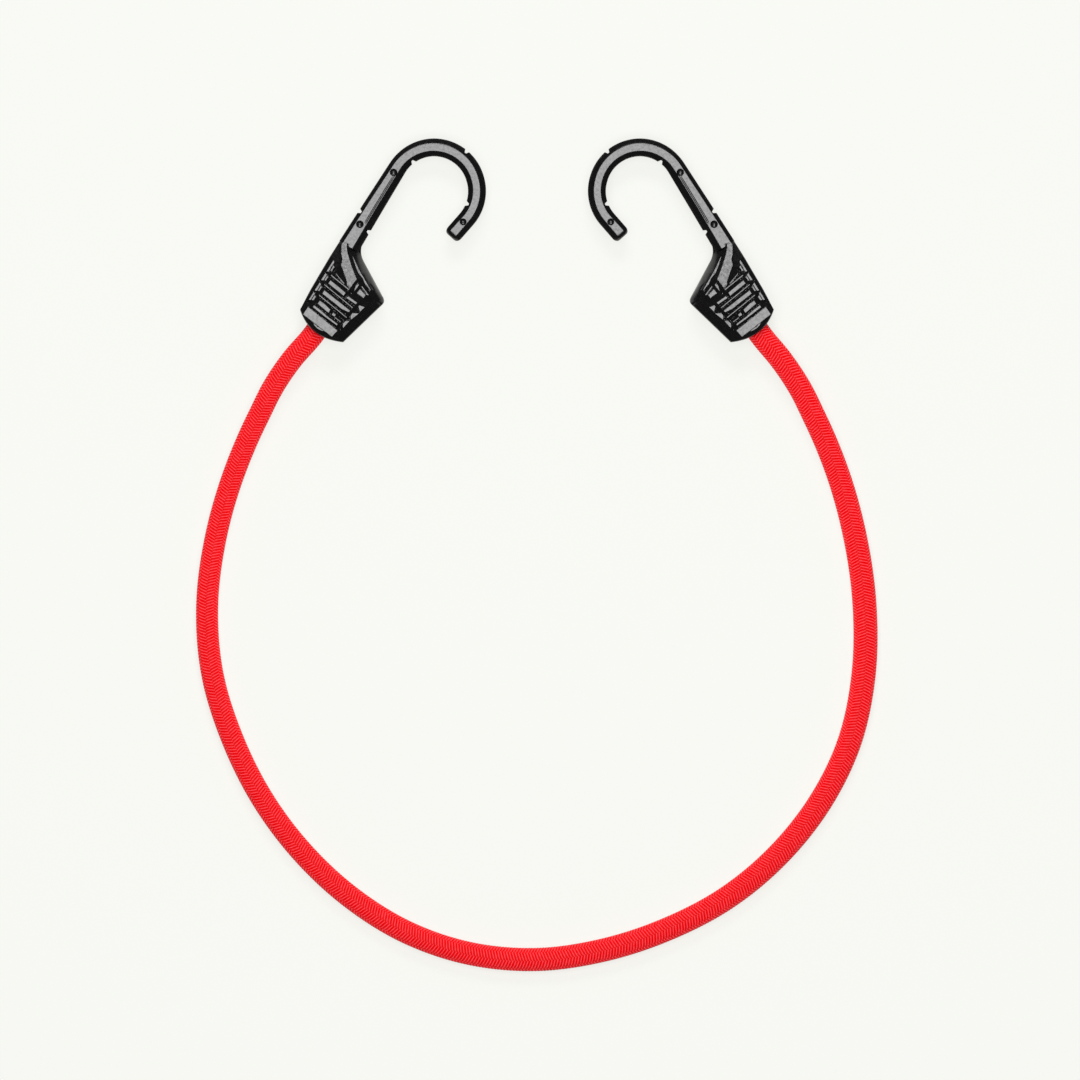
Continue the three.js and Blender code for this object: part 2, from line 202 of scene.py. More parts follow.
# Zinc plated spring wire: bright grey metal, a little cloudy where the plating is duller.
plated = {
    "grey": "#A9ABAD", "bright": "#CFD1D2", "bloom": 1.1,  # mm, size of the zinc's cloudy patches
    "glossRange": {1: 0.3, 2: 0.7, 3: 0.24, 4: 0.4},  # noise, roughness
}
steel, tree = newMaterial("zincPlatedSpringWire")
place = addNode(tree, "TexCoord").outputs["Object"]
bloom = addNode(tree, "TexNoise", {}, {"Scale": 1 / (plated["bloom"] * mm), "Detail": 4.0},
                {"Vector": place}).outputs["Fac"]
colour = addNode(tree, "Mix", {"data_type": "RGBA"},
                 {"A": linearColour(plated["grey"]), "B": linearColour(plated["bright"])},
                 {"Factor": bloom})
gloss = addNode(tree, "MapRange", {}, plated["glossRange"], {0: bloom}).outputs[0]
shader = addNode(tree, "BsdfPrincipled", {}, {"Metallic": 1.0},
                 {"Base Color": colour.outputs["Result"], "Roughness": gloss})
addNode(tree, "OutputMaterial", {}, {}, {"Surface": shader.outputs[0]})
print("materials made")

# the cord's line, mouth to mouth, then straight on into each hook's head
route = {
    "floorHeight": 3.25,  # mm, the cord's middle where it lies on the floor
    "mouthHeight": 7.2,  # mm, its middle at the hooks' mouths
    "intoHead": 18.0,  # mm of straight line past each mouth
    "lean": (1.1, 0.9),  # mm that the cord bows outwards beside the left and the right mouth
    "leanStart": -0.5, "leanPeak": 10.0, "leanEnd": 30.0,  # mm from the mouth
    "girth": [  # share of the way along, and how thick the cord is there
        (0.0, 0.98), (0.12, 0.97), (0.3, 1.01), (0.5, 1.035),
        (0.78, 1.08), (0.9, 1.045), (1.0, 1.035),
    ],
    "points": [  # x, y in mm, and how far the cord has risen to the mouth's height
        (-63.1, -26.1, 1), (-67.1, -32.2, 1), (-76.4, -44.9, 0.6), (-85.5, -64.4, 0.07),
        (-91.3, -84.1, 0), (-93.8, -103.9, 0), (-92.3, -123.4, 0), (-86.6, -141.8, 0),
        (-78.1, -158.8, 0), (-66.9, -173.8, 0), (-53.1, -186.7, 0), (-37.1, -196.7, 0),
        (-19.1, -202.8, 0), (-0.1, -204.5, 0), (18.6, -201.9, 0), (36.5, -196.1, 0),
        (53.5, -187.3, 0), (68.2, -175.2, 0), (80.4, -160.0, 0), (88.9, -142.6, 0),
        (92.9, -123.5, 0), (93.2, -103.9, 0), (90.5, -84.3, 0), (85.0, -64.6, 0.07),
        (76.2, -45.1, 0.6), (67.1, -32.2, 1), (63.1, -26.1, 1),
    ],
}


# centripetal Catmull-Rom curve through the points, in even steps of its parameter on each span
def smoothLine(points, steps=60):
    ends = [2 * points[0] - points[1], 2 * points[-1] - points[-2]]
    padded = np.vstack([ends[0], points, ends[1]])
    line = []
    for i in range(1, len(padded) - 2):
        p0, p1, p2, p3 = padded[i - 1:i + 3]
        d0, d1, d2 = [math.sqrt(np.linalg.norm(b - a)) for a, b in ((p0, p1), (p1, p2), (p2, p3))]
        t1 = ((p1 - p0) / d0 - (p2 - p0) / (d0 + d1) + (p2 - p1) / d1) * d1
        t2 = ((p2 - p1) / d1 - (p3 - p1) / (d1 + d2) + (p3 - p2) / d2) * d1
        t = np.linspace(0, 1, steps, endpoint=False)[:, None]
        line.append(p1 + t1 * t + (3 * (p2 - p1) - 2 * t1 - t2) * t ** 2
                    + (2 * (p1 - p2) + t1 + t2) * t ** 3)
    return np.vstack(line + [points[-1:]])


climb = route["mouthHeight"] - route["floorHeight"]
stops = np.array([(x, y, route["floorHeight"] + climb * risen) for x, y, risen in route["points"]])
cordLine = smoothLine(stops)
cordRun = np.concatenate([[0], np.cumsum(np.linalg.norm(np.diff(cordLine, axis=0), axis=1))])
cordLength = cordRun[-1]
inLeft = (cordLine[0] - cordLine[1]) / np.linalg.norm(cordLine[0] - cordLine[1])
inRight = (cordLine[-1] - cordLine[-2]) / np.linalg.norm(cordLine[-1] - cordLine[-2])


def easeIn(start, end, value):
    share = np.clip((value - start) / (end - start), 0, 1)
    return share * share * (3 - 2 * share)


# how much of the lean shows at a run from the mouth
def leanAt(run):
    start, peak, end = route["leanStart"], route["leanPeak"], route["leanEnd"]
    return easeIn(start, peak, run) * (1 - easeIn(peak, end, run))


ahead = np.gradient(cordLine, axis=0)
ahead /= np.linalg.norm(ahead, axis=1, keepdims=True)
outward = np.cross(ahead, [0.0, 0.0, 1.0])
lean = route["lean"][0] * leanAt(cordRun) + route["lean"][1] * leanAt(cordLength - cordRun)
cordLine = cordLine + lean[:, None] * outward
cordLine = np.vstack([cordLine[0] + inLeft * route["intoHead"], cordLine,
                      cordLine[-1] + inRight * route["intoHead"]])
cordRun = np.concatenate([[-route["intoHead"]], cordRun, [cordLength + route["intoHead"]]])


def cordAt(run):
    return np.stack([np.interp(run, cordRun, cordLine[:, i]) for i in range(3)], -1)


def girthAt(run):
    return np.interp(run / cordLength, *zip(*route["girth"]))


# middle, side and up directions of the cord at each run, from the line a little before and after it
def cordFrame(run, little=0.4):
    ahead = cordAt(run + little) - cordAt(run - little)
    ahead /= np.linalg.norm(ahead, axis=-1, keepdims=True)
    side = np.cross(ahead, [0.0, 0.0, 1.0])
    side /= np.linalg.norm(side, axis=-1, keepdims=True)
    return cordAt(run), side, np.cross(side, ahead)


# the braided jacket: slanted strokes in columns, each column's slant against its neighbour's
jacket = {
    "radius": 3.25, "wall": 0.7,  # mm
    "columns": 8,  # columns of strokes round the cord
    "perColumn": 6, "perStroke": 6,  # points across a column and along a stroke's pitch
    "pitch": 0.852, "slant": 0.85,  # mm between strokes, and the rise of a stroke across its column
    "stagger": 0.5,  # of a pitch, between the strokes of neighbouring columns
    "jump": 0.06,  # share of a column over which they change places
    "strokeDip": 0.15, "columnDip": 0.06,  # mm, how deep the gaps between strokes and columns are
    "strokeFlat": 0.7, "columnFlat": 0.6,  # powers that flatten their tops and narrow the gaps
    "wander": math.radians(6), "wanderLength": 130.0,  # slow turn of the columns along the cord
    "wallStep": 4.0,  # mm between the rings of the inner wall
}


# points round the cord, at a reach from its middle, with the columns' slow turn
def aroundCord(place, turn, reach):
    angle = 2 * np.pi * turn + jacket["wander"] * np.sin(2 * np.pi * place / jacket["wanderLength"])
    middle, side, up = cordFrame(place)
    away = np.cos(angle)[..., None] * side + np.sin(angle)[..., None] * up
    return middle + reach[..., None] * away


def braidedTube(name, start, end, radius=jacket["radius"]):
    sides = jacket["columns"] * jacket["perColumn"]
    acrossColumn = np.linspace(0, 1 - jacket["jump"], jacket["perColumn"])
    columnPlace = (np.arange(jacket["columns"])[:, None] + acrossColumn).ravel()
    turn = columnPlace / jacket["columns"]
    zigzag = np.abs((columnPlace % 2) - 1)  # 0 to 1 and back, over two columns
    lead = jacket["slant"] * (zigzag - 0.5)
    lead += jacket["pitch"] * jacket["stagger"] * (columnPlace % 2 >= 1)
    rings = max(2, round((end - start) / jacket["pitch"] * jacket["perStroke"]) + 1)
    run = np.linspace(start, end, rings)[:, None]
    stroke = np.repeat(run / jacket["pitch"], sides, axis=1)
    place = run + lead
    strokeRise = np.abs(np.sin(np.pi * stroke)) ** jacket["strokeFlat"]
    columnRise = np.sin(np.pi * (columnPlace % 1)) ** jacket["columnFlat"]
    reach = radius * girthAt(place)
    reach -= jacket["strokeDip"] * (1 - strokeRise) + jacket["columnDip"] * (1 - columnRise)
    outer = aroundCord(place, turn, reach)
    outer[..., 2] = np.maximum(outer[..., 2], 0)  # flat where it rests on the floor
    wallRings = max(2, round((end - start) / jacket["wallStep"]) + 1)
    wallPlace = np.linspace(start, end, wallRings)[:, None] + lead
    inner = aroundCord(wallPlace, turn, (radius - jacket["wall"]) * girthAt(wallPlace))
    points = np.vstack([outer.reshape(-1, 3), inner.reshape(-1, 3)])
    first = rings * sides
    here, after = np.arange(sides), (np.arange(sides) + 1) % sides
    lastOut, lastIn = first - sides, first + (wallRings - 1) * sides
    faces = np.vstack([
        ringFaces(rings, sides, 0, True),
        ringFaces(wallRings, sides, first),
        np.stack([here, after, first + after, first + here], -1),
        np.stack([lastOut + after, lastOut + here, lastIn + here, lastIn + after], -1),
    ])
    piece = addPiece(name, points, faces, yarn)
    wallStroke = np.zeros(wallRings * sides)
    for label, values in (("stroke", np.concatenate([stroke.ravel(), wallStroke])),
                          ("column", np.concatenate([np.tile(zigzag, rings), wallStroke]))):
        attribute = piece.data.attributes.new(label, "FLOAT", "POINT")
        attribute.data.foreach_set("value", values.astype(np.float32))
    return piece


# the rubber core: a bundle of threads, seen only as a scalloped rod at its ends
core = {
    "radius": 2.5, "threads": 12, "dip": 0.18,  # mm
    "perThread": 4, "step": 2.5,  # points across a thread, mm between rings
}


def rubberBundle(name, start, end, radius=core["radius"]):
    sides = core["threads"] * core["perThread"]
    turn = np.arange(sides) / sides
    rings = max(2, round((end - start) / core["step"]) + 1)
    run = np.linspace(start, end, rings)[:, None]
    reach = radius - core["dip"] * (1 - np.abs(np.sin(np.pi * turn * core["threads"])))
    skin = aroundCord(run, turn, reach * girthAt(run))
    points = np.vstack([skin.reshape(-1, 3), cordAt(np.array([start, end]))])
    here, after = np.arange(sides), (np.arange(sides) + 1) % sides
    last, hub = (rings - 1) * sides, rings * sides
    faces = ringFaces(rings, sides, 0, True).tolist()
    faces += [(hub, a, b) for a, b in zip(here, after)]
    faces += [(hub + 1, last + b, last + a) for a, b in zip(here, after)]
    piece = addPiece(name, points, faces, rubber)
    return piece


# the stretches of cord: their lengths, and where they bend and join
stretches = {
    "neck": 46.0, "bight": 106.0,  # mm of cord
    "gripEnd": 17.3,  # mm from the mouth to the end of the length gripped in the head
    "bendInner": 6.0, "bendOuter": 5.0,  # mm in from the neck's two ends
    "seamClear": 4.2,  # mm of room at a seam
    "pathPoints": 60,
}
# the cord's two layers, in mm: where the neck starts, counted from the mouth down the cord, where
# the gripped length starts, counted from the mouth into the head, and the radius of that length
layers = {
    "core": {"make": rubberBundle, "ending": "_core_threads",
             "neckStart": 0.15, "gripStart": 0.15, "gripRadius": 2.3},
    "jacket": {"make": braidedTube, "ending": "_jacket_braid",
               "neckStart": -1.5, "gripStart": 2.9, "gripRadius": 3.1},
}
neck, bightStart = stretches["neck"], (cordLength - stretches["bight"]) / 2
bightEnd = cordLength - bightStart
print("cord mouth to mouth:", round(cordLength, 1), "mm")


# runs are counted from the left mouth, so the right side's are mirrored
def runsOn(hand, near, far):
    return (near, far) if hand == "left" else (cordLength - far, cordLength - near)


# hides the model's own solid for one layer of a stretch
def settle(piece, stretch, kind, start, end, length):
    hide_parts(stretch + "_" + kind)


for kind, layer in layers.items():
    make, ending = layer["make"], layer["ending"]
    piece = make("bight" + ending, bightStart, bightEnd)
    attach(piece, "cord_bight")
    settle(piece, "bight", kind, bightStart, bightEnd, stretches["bight"])
    for hand in ("left", "right"):
        start, end = runsOn(hand, neck, bightStart)
        piece = make(hand + "_limb" + ending, start, end)
        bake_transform(piece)
        settle(piece, hand + "_limb", kind, start, end, bightStart - neck)
        start, end = runsOn(hand, layer["neckStart"], neck)
        piece = make(hand + "_neck" + ending, start, end)
        inner, outer = stretches["bendInner"], neck - stretches["bendOuter"]
        if hand == "right":
            inner, outer = cordLength - inner, cordLength - outer
        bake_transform(piece)
        settle(piece, hand + "_neck", kind, *runsOn(hand, 0.0, neck), neck)
        start, end = runsOn(hand, -stretches["gripEnd"], -layer["gripStart"])
        piece = make(hand + "_grip" + ending, start, end, layer["gripRadius"])
        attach(piece, hand + "_hook")
        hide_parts(hand + "_grip_" + kind)
print("cord laid")

# the hooks, made once in their own axes: x from mouth to crown, y to the shank's side, z up
hook = {
    "height": 5.6, "shankY": 4.6, "shankEnd": 52.1,  # mm, the bar's height, its line and its end
    "bend": 12.2, "sweep": 190.0, "tip": 6.7,  # mm, degrees, mm of straight end
    "nose": 1.6, "noseShrink": 0.5,  # mm, the rounded end, and how much of the bar it takes off
    "barStart": 25.8,  # mm, where the bar comes out of the head
    "barStep": 0.4, "noseRings": 9,  # mm between the bar's rings, and how many round its end
    "slopes": (24, 45),  # degrees, fall of the dark edges beside the flat and beside the wall
    "flatMargin": 0.06,  # mm, keeps the shading of the edges off the flat
    "grooveIn": 0.45, "grooveWidth": 0.6,  # mm, the line along the flat
    "grooveFloor": 0.2, "grooveDepth": 0.12,  # mm
    "grooveRun": (-18.8, -17.4, -4.0, -1.5),  # mm, reaches where it starts, is deep, fades and ends
    "flash": 0.07, "flashHalf": 0.14,  # mm, the parting line left by the mould's two halves
    "pins": [  # round mould marks: reach, outwards, radius
        (-19.3, 0.8, 1.1), (-1.7, 0.45, 1.08), (41.6, -0.25, 1.0),
    ],
    "pinRing": 0.28, "pinDepth": 0.28, "pinDish": 0.18,  # mm, mm, fall of the dished floor
    "pinPoint": 0.05, "pinSides": 36,  # mm, radius in the floor's middle
    "outerNotches": (-16.2, 20.7), "innerNotches": (-19.8, 4.6, 36.2),  # reaches
    "notchMouth": 1.35, "notchFloor": 0.5, "notchDepth": 0.8, "notchHalf": 4.0,  # mm
    "clear": 0.3,  # mm that the cutters stand out of a face
    "tunnel": 1.35, "tunnelSides": 16, "tunnelStep": 1.0,  # mm, the wire's way through the bar
    "tunnelStart": 16.0, "tunnelEnd": 5.3,  # mm from the mouth, mm past the bend
    "crease": 38,  # degrees, sharper edges stay crisp
}
bendLength = hook["bend"] * math.radians(hook["sweep"])


# middle of the bar, its way on and its outward side at a reach from the bend's start
def barAt(reach):
    turn = min(max(reach, 0), bendLength) / hook["bend"]
    ahead = np.array([math.cos(turn), -math.sin(turn), 0.0])
    out = np.array([math.sin(turn), math.cos(turn), 0.0])
    middle = np.array([hook["shankEnd"], hook["shankY"] - hook["bend"], 0.0]) + hook["bend"] * out
    return middle + ahead * (min(reach, 0) + max(reach - bendLength, 0)), ahead, out


# the bar at some reaches, in mm: its walls from its line, and its dark edges' widths
barShape = {
    "reach": (-27, -13, 2, 12, 28, 40, 48),
    "outerWall": (3.2, 3.0, 2.7, 2.65, 2.35, 2.4, 2.5),
    "innerWall": (2.95, 2.6, 2.3, 2.3, 2.65, 2.5, 2.4),
    "outerEdge": (1.1, 1.1, 1.15, 1.45, 1.65, 1.65, 1.55),
    "innerEdge": (1.95, 1.95, 1.75, 1.5, 1.45, 1.25, 1.1),
}


def barSize(name, reach):
    return float(np.interp(reach, barShape["reach"], barShape[name]))


# the upper half of the bar's section, from its outer wall over the flat to its inner wall
def barSection(reach, steps=8):
    outer, inner = barSize("outerWall", reach), -barSize("innerWall", reach)
    outerEdge, innerEdge = barSize("outerEdge", reach), barSize("innerEdge", reach)
    top = hook["height"] / 2
    across = np.linspace(0, 1, steps)
    steep = np.tan(np.radians(np.linspace(*hook["slopes"], steps)))
    down = np.concatenate([[0], np.cumsum((steep[1:] + steep[:-1]) / 2) / (steps - 1)])
    first = np.stack([outer - outerEdge + outerEdge * across, top - outerEdge * down], -1)[::-1]
    last = np.stack([inner + innerEdge - innerEdge * across, top - innerEdge * down], -1)
    line = inner + innerEdge + hook["grooveIn"]
    wide, floor = hook["grooveWidth"] / 2, hook["grooveFloor"] / 2
    depth = hook["grooveDepth"] * float(np.interp(reach, hook["grooveRun"], (0, 1, 1, 0)))
    beside = hook["flatMargin"]
    flat = [(outer - outerEdge - beside, top), (line + wide + beside, top), (line + wide, top),
            (line + floor, top - depth), (line - floor, top - depth), (line - wide, top),
            (line - wide - beside, top), (inner + innerEdge + beside, top)]
    flash, flashHalf = hook["flash"], hook["flashHalf"]
    thin = flashHalf / 3  # its edge, a third as thick
    seamOut = [(outer + flash, thin), (outer, flashHalf)]
    seamIn = [(inner, flashHalf), (inner - flash, thin)]
    return np.vstack([seamOut, first, flat, last, seamIn])


def barMesh():
    end = bendLength + hook["tip"]
    noseStart = end - hook["nose"]
    roundOff = 1 - np.sin(np.linspace(0, np.pi / 2, hook["noseRings"]))
    evenly = np.arange(hook["barStart"] - hook["shankEnd"], noseStart, hook["barStep"])
    reaches = np.concatenate([evenly, end - hook["nose"] * roundOff])
    up = np.array([0.0, 0.0, 1.0])
    rings = []
    for reach in reaches:
        middle, ahead, out = barAt(reach)
        half = barSection(reach)
        shape = np.vstack([half, half[::-1] * (1, -1)])
        past = max(0.0, reach - noseStart) / hook["nose"]
        shrink = 1 - hook["noseShrink"] * (1 - math.sqrt(max(0.0, 1 - past ** 2)))
        rings.append(middle + shape[:, :1] * shrink * out + shape[:, 1:] * shrink * up)
    sides = len(rings[0])
    points = np.vstack(rings)
    faces = ringFaces(len(rings), sides).tolist()
    faces.append(list(range(sides))[::-1])
    faces.append(list(range(len(points) - sides, len(points))))
    return points, faces


# gap from places to a run of points: below 0 inside a closed one
def gapTo(places, corners, closed=True):
    corners = np.asarray(corners, float)
    nearest = np.full(len(places), np.inf)
    inside = np.zeros(len(places), bool)
    count = len(corners) if closed else len(corners) - 1
    for i in range(count):
        a, b = corners[i], corners[(i + 1) % len(corners)]
        span = b - a
        share = np.clip(((places - a) @ span) / (span @ span), 0, 1)
        nearest = np.minimum(nearest, np.linalg.norm(places - a - share[:, None] * span, axis=1))
        if closed:
            crosses = (a[1] > places[:, 1]) != (b[1] > places[:, 1])
            rise = b[1] - a[1] if b[1] != a[1] else 1
            passed = np.where(crosses, (places[:, 1] - a[1]) / rise, 0)
            inside ^= crosses & (places[:, 0] < a[0] + passed * (b[0] - a[0]))
    return np.where(inside, -nearest, nearest)


def bow(a, control, b, steps=24):
    t = np.linspace(0, 1, steps)[:, None]
    return (1 - t) ** 2 * np.array(a) + 2 * t * (1 - t) * np.array(control) + t ** 2 * np.array(b)


# the head, in mm along from its mouth and across from the cord's middle to the wing
head = {
    "end": 30.0, "cell": 0.125, "gridSize": (30.9, 17.0),  # the grid of points, along and across
    "evenBy": 0.25,  # share of the length over which the grid's columns get even
    "outer": [(2.0, -7.05), (10.0, -7.5), (20.0, -7.75), (30.0, -7.75)],
    "heel": (3.2, -7.0), "mouth": (-2.4, -0.4), "toe": (1.8, 8.3), "mouthSteps": 80,
    "beforeToe": (-3.0, 7.2),  # carries the toe's line on past the mouth
    "wingTip": (18.0, 12.4), "tipRound": 1.4,
    "crook": (26.2, -1.95), "crookRound": 3.6, "neckInner": -1.95,
    "wallRound": 0.25, "draft": 0.08,  # the walls' rounded top edge, and their lean
    "flash": 0.08, "flashHalf": 0.16,  # the parting line
    "hollowReach": (2.4, 1.5),  # width of the rounded concave side, on the wing and on the shank
    "hollowEase": (21.0, 26.0),  # along, where it goes from the one to the other
    "hollowEdge": 0.5,  # height of the wall left under it
    "ramp": (15.0, 7.0, 0.52, 1.0),  # where the top starts to fall, level there, fall, lowest level
    # level at a wall, and the rise from it
    "outerRise": (4.7, 0.6), "mouthRise": (4.5, 0.8), "toeRise": (2.6, 0.45),
    "wingTop": 4.4, "wingFall": 2.0,  # level of the wing, and the fall to it from the barrel
    "grooveFloor": 6.15, "sideSlope": 0.75,  # level between the raised faces, fall of their sides
    "faces": [  # height, then the corners
        (6.6, [(2.5, -5.6), (5.1, -5.5), (3.8, 5.2), (1.4, 4.8)]),  # collar
        (6.55, [(2.2, -2.4), (1.5, -1.2), (1.2, 0), (1.3, 1.4), (1.6, 2.6), (1.7, 1.5),
                (1.75, -0.5)]),
        (7.0, [(5.7, -4.4), (6.4, -4.3), (6.15, -1.5), (5.75, 0.4), (5.4, 4.3), (4.85, 4.3),
               (5.2, 0)]),
        (7.2, [(7.3, -3.7), (8.35, -3.6), (8.3, -2), (7.75, 0.4), (6.65, 0.4), (7.0, -2)]),  # ribs
        (7.0, [(6.6, 1.4), (7.55, 1.4), (7.4, 2.4), (6.7, 2.5)]),
        (7.2, [(10.4, -4.1), (11.55, -4.1), (10.75, 3.2), (10.5, 5.3), (9.85, 5.2), (9.6, 3.0)]),
        (7.2, [(13.75, -4.15), (14.9, -4.1), (14.15, 1.5), (13.05, 1.5)]),
        (6.9, [(12.95, 2.3), (13.7, 2.6), (13.5, 5.8), (12.8, 5.7)]),
        (6.65, [(5.2, 6.2), (5.5, 5.8), (6.3, 5.4), (7.3, 5.7), (7.9, 6.7)]),  # scalloped ends
        (6.5, [(8.3, 6.8), (9.2, 6.1), (10.3, 6.3), (11.1, 7.8)]),
        (6.25, [(11.6, 7.8), (12.4, 6.8), (13.2, 6.6), (13.5, 8.3)]),
        (5.95, [(15.4, 2.9), (18.2, 3.0), (18.1, 3.6), (15.5, 3.4)]),  # plain panel on the wing
        (5.35, [(15.7, 4.2), (17.3, 4.0), (16.6, 6.7), (15.0, 6.6)]),
    ],
    "ridges": [  # half width, then along, across and height of each point
        (0.17, [(9.55, -4.5, 6.95), (8.3, 5.4, 6.95)]),
        (0.17, [(12.9, -4.8, 6.95), (11.55, 5.4, 6.95)]),
        (0.16, [(6.55, 2.5, 6.9), (6.35, 4.6, 6.8)]),
        (0.18, [(16.15, -4.6, 6.95), (15.55, 0.3, 6.85), (15.35, 1.8, 6.8)]),
        (0.16, [(17.25, -3.7, 6.6), (16.1, -0.3, 6.75)]),
        (0.2, [(18.6, 3.1, 5.5), (17.0, 7.2, 5.2)]),
    ],
    "rim": [  # strips along the outer wall: start and end of each, then of the tooth inside it
        (6.8, 9.6, 7.4, 8.8), (9.9, 12.8, 10.5, 12.0),
        (13.4, 16.0, 14.0, 15.4), (16.3, 20.2, 17.2, 18.8),
    ],
    # their outer and inner sides: across, and how much longer at each end
    "strip": ((-9.0, 1.2), (-5.8, -0.3)), "tooth": ((-5.62, 0.2), (-5.05, -0.1)),
    "stripTop": 6.35, "toothTop": 6.5, "rimSlope": 0.95,  # fall of their ends
    "apronStart": -6.4, "apronSlope": 0.6,  # across, where a strip's outer side falls, and its fall
    "slipFall": (0.24, -0.19),  # along and across, of the facets that run down into the shank
    "slips": [  # highest level, a point of the facet, then its corners
        (7.0, (19.5, -1.7, 5.2), [
            (17.3, -1.8), (20.5, -4.45), (21.1, -4.1), (22.5, -5.15), (24.0, -6.2), (25.2, -6.8),
            (26.6, -6.8), (26.4, -5.7), (25.2, -5.05), (24.3, -4.3), (23.0, -2.9), (21.2, -0.8),
            (19.0, 2.2), (15.8, 1.8), (16.4, 0.6)]),
        (4.75, (21.5, 1.0, 4.43), [
            (24.4, -2.9), (23.4, -1.3), (22.0, 0.8), (20.9, 2.8), (20.0, 4.6), (19.3, 6.2),
            (18.7, 7.4), (18.3, 7.2), (18.9, 5.7), (19.4, 4.4), (20.2, 2.6), (21.3, 0.5),
            (22.7, -1.6), (24.0, -3.1)]),
    ],
    "wingZone": [  # where the top is the wing's and not the barrel's
        (20.7, -4.25), (17.5, -1.75), (16.2, 0.5), (15.55, 2.0), (14.7, 3.6), (14.2, 9), (14, 20),
        (40, 20), (40, -4.25)],
}


def outerAt(along):
    return np.interp(along, *zip(*head["outer"]))


# a face at some level, with sides that fall away over the gap around it
def raised(height, level, slope, gap):
    return np.maximum(height, level - slope * np.maximum(0, gap))


def headHeight(places, mouthLine, toeLine, hollowLine):
    along, across = places[:, 0], places[:, 1]
    fromOuter = across - outerAt(along)
    fromMouth, fromToe, fromHollow = [gapTo(places, line, False)
                                      for line in (mouthLine, toeLine, hollowLine)]
    rampStart, rampTop, rampFall, rampFoot = head["ramp"]
    ramp = np.maximum(rampTop - rampFall * (along - rampStart), rampFoot)
    outerSlope, mouthSlope, toeSlope = [
        head[name][0] + head[name][1] * gap
        for name, gap in (("outerRise", fromOuter), ("mouthRise", fromMouth), ("toeRise", fromToe))]
    barrel = np.minimum.reduce([outerSlope, mouthSlope, toeSlope, ramp])
    barrel = np.minimum(barrel, head["grooveFloor"])
    wing = np.minimum(np.minimum(toeSlope, ramp), head["wingTop"])
    intoWing = np.maximum(0, -gapTo(places, head["wingZone"]))
    height = np.maximum(wing, barrel - head["wingFall"] * intoWing)
    fall = head["sideSlope"]
    for top, corners in head["faces"]:
        height = raised(height, top, fall, gapTo(places, corners))
    apron = head["stripTop"] - head["apronSlope"] * np.maximum(0, head["apronStart"] - across)
    for start, end, toothStart, toothEnd in head["rim"]:
        for name, level, first, last in (("strip", apron, start, end),
                                         ("tooth", head["toothTop"], toothStart, toothEnd)):
            (outer, longer), (inner, more) = head[name]
            corners = [(first - longer, outer), (last + longer, outer),
                       (last + more, inner), (first - more, inner)]
            height = raised(height, level, head["rimSlope"], gapTo(places, corners))
    for halfWidth, line in head["ridges"]:
        line = np.array(line)
        crest = np.interp(across, line[:, 1], line[:, 2])
        height = raised(height, crest, fall, gapTo(places, line[:, :2], False) - halfWidth)
    alongFall, acrossFall = head["slipFall"]
    for top, (fromAlong, fromAcross, level), corners in head["slips"]:
        plane = level - alongFall * (along - fromAlong) - acrossFall * (across - fromAcross)
        height = raised(height, np.minimum(plane, top), fall, gapTo(places, corners))
    rounding = head["wallRound"]
    inset = np.clip(1 - np.minimum.reduce([fromOuter, fromMouth, fromToe]) / rounding, 0, 1)
    height -= rounding * (1 - np.sqrt(1 - inset ** 2))
    wide, narrow = head["hollowReach"]
    hollowReach = wide + (narrow - wide) * easeIn(*head["hollowEase"], along)
    soft = 1 - np.minimum(fromHollow / hollowReach, 1)
    return head["hollowEdge"] + (height - head["hollowEdge"]) * np.sqrt(1 - soft ** 2)


